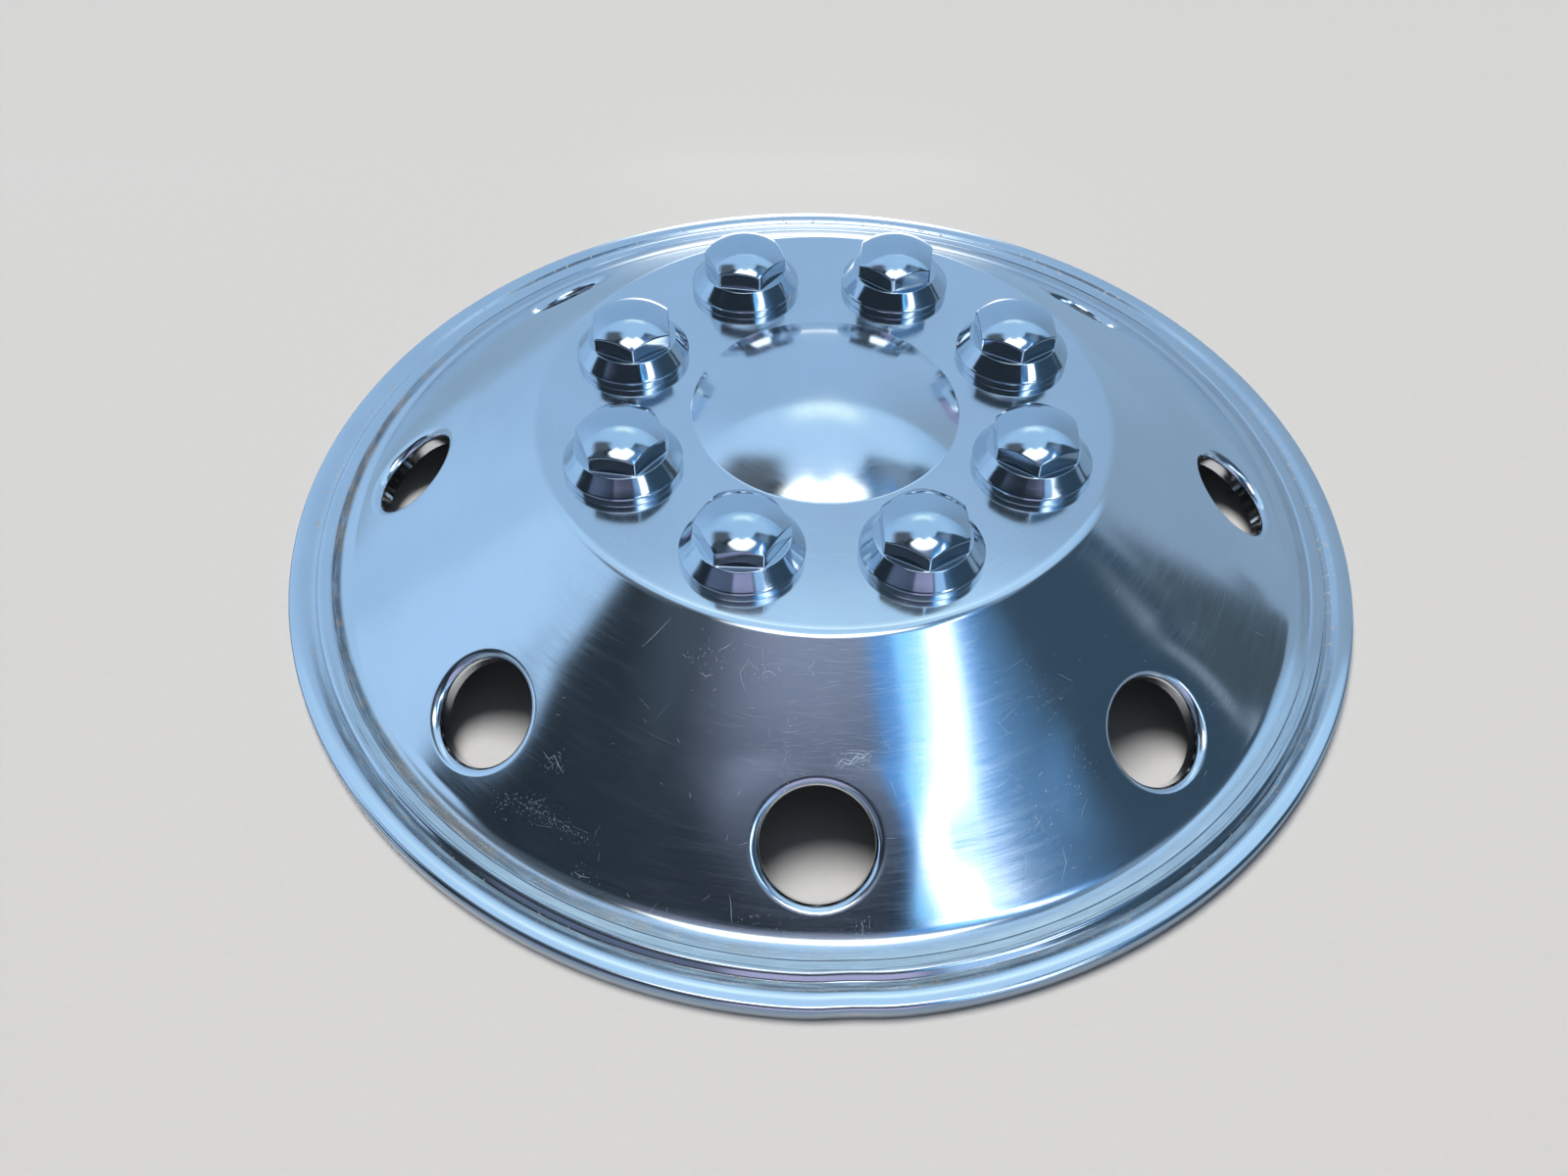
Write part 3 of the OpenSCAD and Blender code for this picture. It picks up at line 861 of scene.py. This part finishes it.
# Soft windows of the room that the polished faces mirror: left and right edge at 45 degrees of elevation,
# how far each edge moves for a degree of rise, bottom, top, softness sideways and upward, all in degrees,
# and the colour
ROOM_WINDOWS = (
    (-106.0, -84.0, 0.0, 0.0, 54.0, 67.0, 12.0, 12.0, (0.11, 0.135, 0.17)),  # dark curtain
    (-84.0, -60.0, 0.0, 0.0, 12.0, 30.0, 5.0, 4.0, (0.021, 0.031, 0.043)),  # its hem
    (-84.0, -50.0, 0.0, 0.0, 48.0, 60.0, 4.0, 2.5, (0.060, 0.088, 0.118)),  # its fold
    (88.0, 95.0, 0.0, 0.0, 56.0, 60.0, 13.0, 12.0, (0.21, 0.31, 0.45)),  # shaded wall
    (152.0, 166.0, 0.0, 0.0, 42.0, 51.0, 7.0, 6.0, (0.53, 0.84, 1.15)),  # pale door
    (-56.0, 22.0, 0.0, 0.0, 2.0, 24.0, 8.0, 8.0, (0.115, 0.15, 0.24)),  # low wall
    (-13.0, 15.0, 0.0, 0.0, 2.0, 24.0, 6.0, 9.0, (0.46, 0.46, 0.72)),  # low lilac light
    (24.0, 36.0, 0.0, 0.0, 0.0, 26.0, 5.0, 8.0, (0.42, 0.68, 1.05)),  # end of the strip lamp
    (70.0, 103.5, 0.0, 0.0, 10.0, 48.0, 2.0, 6.0, (0.040, 0.075, 0.117)),  # door
    (95.5, 97.5, 0.0, 0.0, 15.0, 23.5, 2.0, 3.0, (0.22, 0.30, 0.385)),  # door post
    (100.0, 94.0, 0.0, -0.5, -10.0, 18.5, 2.5, 4.0, (0.056, 0.085, 0.11)),  # door gap
    (24.0, 51.0, -0.2, 2.2, 18.0, 58.0, 5.0, 5.0, (0.10, 0.33, 0.78)),  # blue edge of the strip lamp
    (26.5, 43.0, 0.5, 2.2, 20.0, 57.0, 3.5, 4.0, (0.28, 0.86, 1.5)),  # its pale blue core
    (26.5, 38.5, 2.5, 2.3, 46.0, 58.0, 3.5, 2.5, (2.2, 2.5, 2.7)),  # strip lamp
    (28.5, 36.0, -0.3, 0.3, 38.0, 46.0, 3.5, 2.5, (2.2, 2.5, 2.7)),  # its middle
    (32.5, 36.8, -0.3, -0.6, 26.0, 38.5, 3.5, 2.5, (2.2, 2.5, 2.7)),  # its lower end
    (-56.0, 60.0, 0.0, 0.0, 70.5, 80.0, 12.0, 5.0, (2.4, 2.6, 2.7)),  # ceiling lamp
)


def window(tree, around, rise, left, right, lean_left, lean_right, bottom, top, soft, soft_up):
    """1 within a window of directions, eased to 0 round it."""
    sides = []
    for at, lean in ((left, lean_left), (right, lean_right)):
        place = calc(tree, "MULTIPLY_ADD", rise, lean, at - 45 * lean)
        sides.append(calc(tree, "SUBTRACT", around, place))
    across = times(tree, ramp(tree, sides[0], -soft, 0.0), ramp(tree, sides[1], 0.0, soft, 1.0, 0.0))
    return times(tree, across, between(tree, rise, bottom - soft_up, bottom, top, top + soft_up))


def pale_room(tree, x, azimuth, rise):
    """Colour of the room behind the object."""
    colour = blend_colour(tree, ramp(tree, rise, 5.0, 40.0), (0.30, 0.48, 0.71, 1), (0.36, 0.60, 0.89, 1))
    colour = blend_colour(tree, ramp(tree, rise, 36.0, 56.0), colour, (0.48, 0.75, 1.05, 1))
    left = between(tree, azimuth, -138.0, -104.0, 0.0, 20.0)
    colour = blend_colour(tree, left, colour, (0.46, 0.71, 1.03, 1))
    right = times(tree, ramp(tree, x, 0.2, 0.7), ramp(tree, rise, 18.0, 42.0, 1.0, 0.0))
    return blend_colour(tree, right, colour, (0.265, 0.39, 0.54, 1))


def dim_room(tree, azimuth, rise):
    """Colour of the room in front of the object: dark to the left, navy to the right."""
    dark = (0.021, 0.031, 0.043, 1)
    colour = blend_colour(tree, ramp(tree, rise, 45.0, 58.0), dark, (0.24, 0.29, 0.42, 1))
    colour = blend_colour(tree, ramp(tree, azimuth, -72.0, -18.0), dark, colour)
    leaned = calc(tree, "SUBTRACT", azimuth, calc(tree, "MULTIPLY_ADD", rise, 0.9, -43.2))
    navy = blend_colour(tree, ramp(tree, leaned, 52.0, 84.0), (0.10, 0.25, 0.48, 1),
                        (0.043, 0.081, 0.128, 1))
    return blend_colour(tree, ramp(tree, azimuth, 15.0, 40.0), colour, navy)


def world_light():
    """A pale room behind the object and a dim one in front of it, with soft lamps, for what mirrors it."""
    world = bpy.data.worlds.new("room")
    bpy.context.scene.world = world
    world.use_nodes = True
    tree = world.node_tree
    tree.nodes.clear()
    way = node(tree, "ShaderNodeTexCoord").outputs["Generated"]
    x, y, z = node(tree, "ShaderNodeSeparateXYZ", {0: way}).outputs
    azimuth = times(tree, calc(tree, "ARCTAN2", x, times(tree, y, -1.0)), PER_RADIAN)
    rise = times(tree, calc(tree, "ARCSINE", z), PER_RADIAN)
    # The pale room ends on a slanted line that runs over the object from left to right
    edge = calc(tree, "ADD", calc(tree, "SUBTRACT", y, times(tree, x, 0.146)),
                calc(tree, "MULTIPLY_ADD", z, -0.28, 0.18))
    edge = calc(tree, "ADD", edge, ramp(tree, z, 0.93, 0.995, 0.0, 0.26))
    colour = blend_colour(tree, ramp(tree, edge, -0.04, 0.04), dim_room(tree, azimuth, rise),
                          pale_room(tree, x, azimuth, rise))
    for *shape, shade in ROOM_WINDOWS:
        colour = blend_colour(tree, window(tree, azimuth, rise, *shape), colour, opaque(shade))
    behind = times(tree, calc(tree, "ARCTAN2", x, y), PER_RADIAN)
    colour = blend_colour(tree, window(tree, behind, rise, -6.0, 14.0, 0.0, 0.0, 58.0, 60.0, 26.0, 6.0),
                          colour, (0.95, 1.25, 1.35, 1))

    # The camera sees a plain tone, matt faces a soft light, and only what is mirrored sees the room
    plain, soft_light, room = [
        node(tree, "ShaderNodeBackground", {"Color": shade, "Strength": 1.0}).outputs[0]
        for shade in ((0.72, 0.78, 0.84, 1), (0.13, 0.135, 0.145, 1), colour)]
    ray = node(tree, "ShaderNodeLightPath").outputs
    both = node(tree, "ShaderNodeMixShader", {0: ray["Is Glossy Ray"], 1: soft_light, 2: room}).outputs[0]
    both = node(tree, "ShaderNodeMixShader", {0: ray["Is Camera Ray"], 1: both, 2: plain}).outputs[0]
    node(tree, "ShaderNodeOutputWorld", {"Surface": both})


def stage_floor(colours):
    """A plain pale floor with a very fine grain. Polished faces see it as an even cool tone."""
    bm = bmesh.new()
    bmesh.ops.create_grid(bm, x_segments=1, y_segments=1, size=6)
    material, tree, shader = new_material("pale_floor")
    place = own_place(tree)
    light = opaque([min(1, c * 1.03) for c in colours.floor])
    grain = blend_colour(tree, noise(tree, place, 260.0, 4.0), opaque(colours.floor, 0.97), light)
    feed(shader, {"Base Color": grain, "Roughness": 0.9})
    far = node(tree, "ShaderNodeVectorMath", {0: place}, operation="LENGTH").outputs["Value"]
    depth = node(tree, "ShaderNodeSeparateXYZ", {0: place}).outputs[1]
    tone = blend_colour(tree, ramp(tree, depth, -0.2, 0.1), (0.24, 0.32, 0.42, 1), (0.27, 0.41, 0.57, 1))
    cool = node(tree, "ShaderNodeEmission", {"Color": tone, "Strength": 1.0}).outputs[0]
    beyond = ramp(tree, far, 0.219, 0.221)  # outside the rim
    mirrored = times(tree, node(tree, "ShaderNodeLightPath").outputs["Is Glossy Ray"], beyond)
    both = node(tree, "ShaderNodeMixShader", {0: mirrored, 1: shader.outputs[0], 2: cool}).outputs[0]
    feed(tree.nodes["Material Output"], {"Surface": both})
    floor = finish_mesh("floor", bm, material)
    floor.location.z = -0.1 * MM
    return floor


def rear_panel():
    """A pale panel behind the object that only its polished faces see."""
    bm = bmesh.new()
    bmesh.ops.create_grid(bm, x_segments=1, y_segments=1, size=0.5)
    material, tree, _ = new_material("rear_panel")
    tree.nodes.clear()
    across, upward, _ = node(tree, "ShaderNodeSeparateXYZ", {0: own_place(tree)}).outputs
    colour = blend_colour(tree, ramp(tree, across, -0.30, -0.10), (0.40, 0.63, 0.93, 1),
                          (0.335, 0.53, 0.785, 1))
    colour = blend_colour(tree, ramp(tree, across, 0.02, 0.25), colour, (0.265, 0.39, 0.54, 1))
    glow = times(tree, ramp(tree, calc(tree, "ABSOLUTE", across), 0.03, 0.075, 1.0, 0.0),
                 ramp(tree, upward, -0.392, -0.376, 1.0, 0.0))
    colour = blend_colour(tree, glow, colour, (2.0, 2.1, 2.15, 1))
    lit = node(tree, "ShaderNodeEmission", {"Color": colour, "Strength": 1.0}).outputs[0]
    node(tree, "ShaderNodeOutputMaterial", {"Surface": lit})
    panel = finish_mesh("rear_panel", bm, material)
    panel.scale = (1.9, 0.5, 1)
    panel.rotation_euler.x = math.radians(90)
    panel.location = (0, 0.28, 0.25)
    panel.visible_camera = panel.visible_diffuse = panel.visible_shadow = False
    return panel


def soft_sun():
    """A broad soft light that lights matt surfaces evenly and leaves the metal's reflections alone."""
    way = Vector((0.25, -0.38, -1.5))
    data = bpy.data.lights.new("soft_top", "SUN")
    data.energy, data.angle, data.color = 4.1, math.radians(30), (1.0, 0.98, 0.95)
    lamp = bpy.data.objects.new("soft_top", data)
    lamp.rotation_mode = "QUATERNION"
    lamp.rotation_quaternion = way.to_track_quat("-Z", "Y")
    lamp.location = -way
    lamp.visible_glossy = False
    bpy.context.scene.collection.objects.link(lamp)


def stage_camera():
    """The camera, from a fit of its place to the object's circles."""
    azimuth, rise, roll = (math.radians(v) for v in (-1.405, 49.713, 0.965))
    target, distance = Vector((-16.755, -78.853, 50.0)) * MM, 481.859 * MM
    back = Vector((math.sin(azimuth) * math.cos(rise), -math.cos(azimuth) * math.cos(rise), math.sin(rise)))
    across = (-back).cross(Vector((0, 0, 1))).normalized()
    up = across.cross(-back)
    c, n = math.cos(roll), math.sin(roll)
    turned = Matrix((across * c + up * n, up * c - across * n, back)).transposed()
    data = bpy.data.cameras.new("camera")
    data.lens, data.sensor_width, data.clip_start = 30.70, 36.0, 0.01
    camera = bpy.data.objects.new("camera", data)
    camera.matrix_world = Matrix.Translation(target + back * distance) @ turned.to_4x4()
    bpy.context.scene.collection.objects.link(camera)
    bpy.context.scene.camera = camera


# Operators


class WHEEL_OT_liner(bpy.types.Operator):
    """Build the polished liner with its hand holes and rim"""

    bl_idname = "wheel.liner"
    bl_label = "Liner"

    def execute(self, context):
        s, colours = context.scene.wheel_liner, context.scene.wheel_finish
        bm = liner_mesh(s, context.scene.wheel_cover)
        liner = finish_mesh("liner_sheet", bm, polished_steel(colours), sheet_back(colours))
        thick = liner.modifiers.new("sheet", "SOLIDIFY")
        thick.thickness, thick.offset = s.sheet, -1
        thick.use_quality_normals = True
        thick.material_offset, thick.material_offset_rim = 1, 0
        baked = bpy.data.meshes.new_from_object(liner.evaluated_get(context.evaluated_depsgraph_get()))
        liner.modifiers.clear()
        liner.data = baked
        baked.set_sharp_from_angle(angle=math.radians(SHARP))
        weigh = liner.modifiers.new("weigh", "WEIGHTED_NORMAL")
        weigh.keep_sharp = True
        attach(liner, "root")
        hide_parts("liner")
        return {"FINISHED"}


class WHEEL_OT_marks(bpy.types.Operator):
    """Lay the scratches and scuffs of use on the liner"""

    bl_idname = "wheel.marks"
    bl_label = "Wear marks"

    def execute(self, context):
        liner = bpy.data.objects["liner_sheet"]
        surface = BVHTree.FromObject(liner, context.evaluated_depsgraph_get())
        bm = bmesh.new()
        for width, points in wear(random.Random(7)):
            ribbon(bm, surface, points, width)
        marks = finish_mesh("wear_marks", bm, scuffed_steel())
        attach(marks, "root")
        return {"FINISHED"}


class WHEEL_OT_covers(bpy.types.Operator):
    """Build the eight lug nut covers"""

    bl_idname = "wheel.covers"
    bl_label = "Lug nut covers"

    def execute(self, context):
        s, colours = context.scene.wheel_cover, context.scene.wheel_finish
        land = context.scene.wheel_liner.land
        first = finish_mesh("lug_cover_1", cover_mesh(s), bright_chrome(colours))
        for k in range(NUTS):
            cover = first if k == 0 else bpy.data.objects.new(f"lug_cover_{k + 1}", first.data)
            if k:
                context.scene.collection.objects.link(cover)
            weigh = cover.modifiers.new("weigh", "WEIGHTED_NORMAL")
            weigh.keep_sharp = True
            cover.location = polar(FIRST_NUT + 360 / NUTS * k, s.circle, land)
            cover.rotation_euler.z = math.radians(NUT_TURNS[k])
            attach(cover, "root")
            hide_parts(f"nut_cover_{k + 1}")
        return {"FINISHED"}


class WHEEL_OT_fixings(bpy.types.Operator):
    """Finish the retaining rings and the grips inside the covers"""

    bl_idname = "wheel.fixings"
    bl_label = "Rings and grips"

    def execute(self, context):
        zinc, nylon = zinc_steel(), moulded_nylon()
        for k in range(1, NUTS + 1):
            for name, material in ((f"retaining_ring_{k}", zinc), (f"nut_grip_{k}", nylon)):
                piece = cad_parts[name]
                for slot in piece.material_slots:
                    slot.material = material
        return {"FINISHED"}


class WHEEL_OT_stage(bpy.types.Operator):
    """Set the floor, the lamps, the room and the camera"""

    bl_idname = "wheel.stage"
    bl_label = "Stage"

    def execute(self, context):
        scene = context.scene
        scene.view_settings.view_transform = "Standard"
        colours = scene.wheel_finish
        stage_floor(colours)
        rear_panel()
        world_light()
        soft_sun()
        stage_camera()
        return {"FINISHED"}


class WHEEL_PT_panel(bpy.types.Panel):
    """Lists the steps that build the wheel simulator"""

    bl_idname = "WHEEL_PT_panel"
    bl_label = "Wheel Simulator"
    bl_space_type = "VIEW_3D"
    bl_region_type = "UI"
    bl_category = "Wheel Simulator"

    def draw(self, context):
        for operator in OPERATORS:
            self.layout.operator(operator.bl_idname)
        for group in ("wheel_liner", "wheel_cover", "wheel_finish"):
            settings = getattr(context.scene, group)
            box = self.layout.box()
            for name in settings.bl_rna.properties.keys():
                if name not in ("rna_type", "name"):
                    box.prop(settings, name)


OPERATORS = (WHEEL_OT_liner, WHEEL_OT_marks, WHEEL_OT_covers, WHEEL_OT_fixings, WHEEL_OT_stage)
GROUPS = (("wheel_liner", LinerSizes), ("wheel_cover", CoverSizes), ("wheel_finish", FinishColours))


def register():
    for name, group in GROUPS:
        bpy.utils.register_class(group)
        setattr(bpy.types.Scene, name, PointerProperty(type=group))
    for operator in OPERATORS:
        bpy.utils.register_class(operator)
    bpy.utils.register_class(WHEEL_PT_panel)


def unregister():
    bpy.utils.unregister_class(WHEEL_PT_panel)
    for operator in reversed(OPERATORS):
        bpy.utils.unregister_class(operator)
    for name, group in reversed(GROUPS):
        delattr(bpy.types.Scene, name)
        bpy.utils.unregister_class(group)


def main():
    register()
    bpy.ops.wheel.liner()
    bpy.ops.wheel.marks()
    bpy.ops.wheel.covers()
    bpy.ops.wheel.fixings()
    bpy.ops.wheel.stage()


if __name__ == "__main__":
    main()
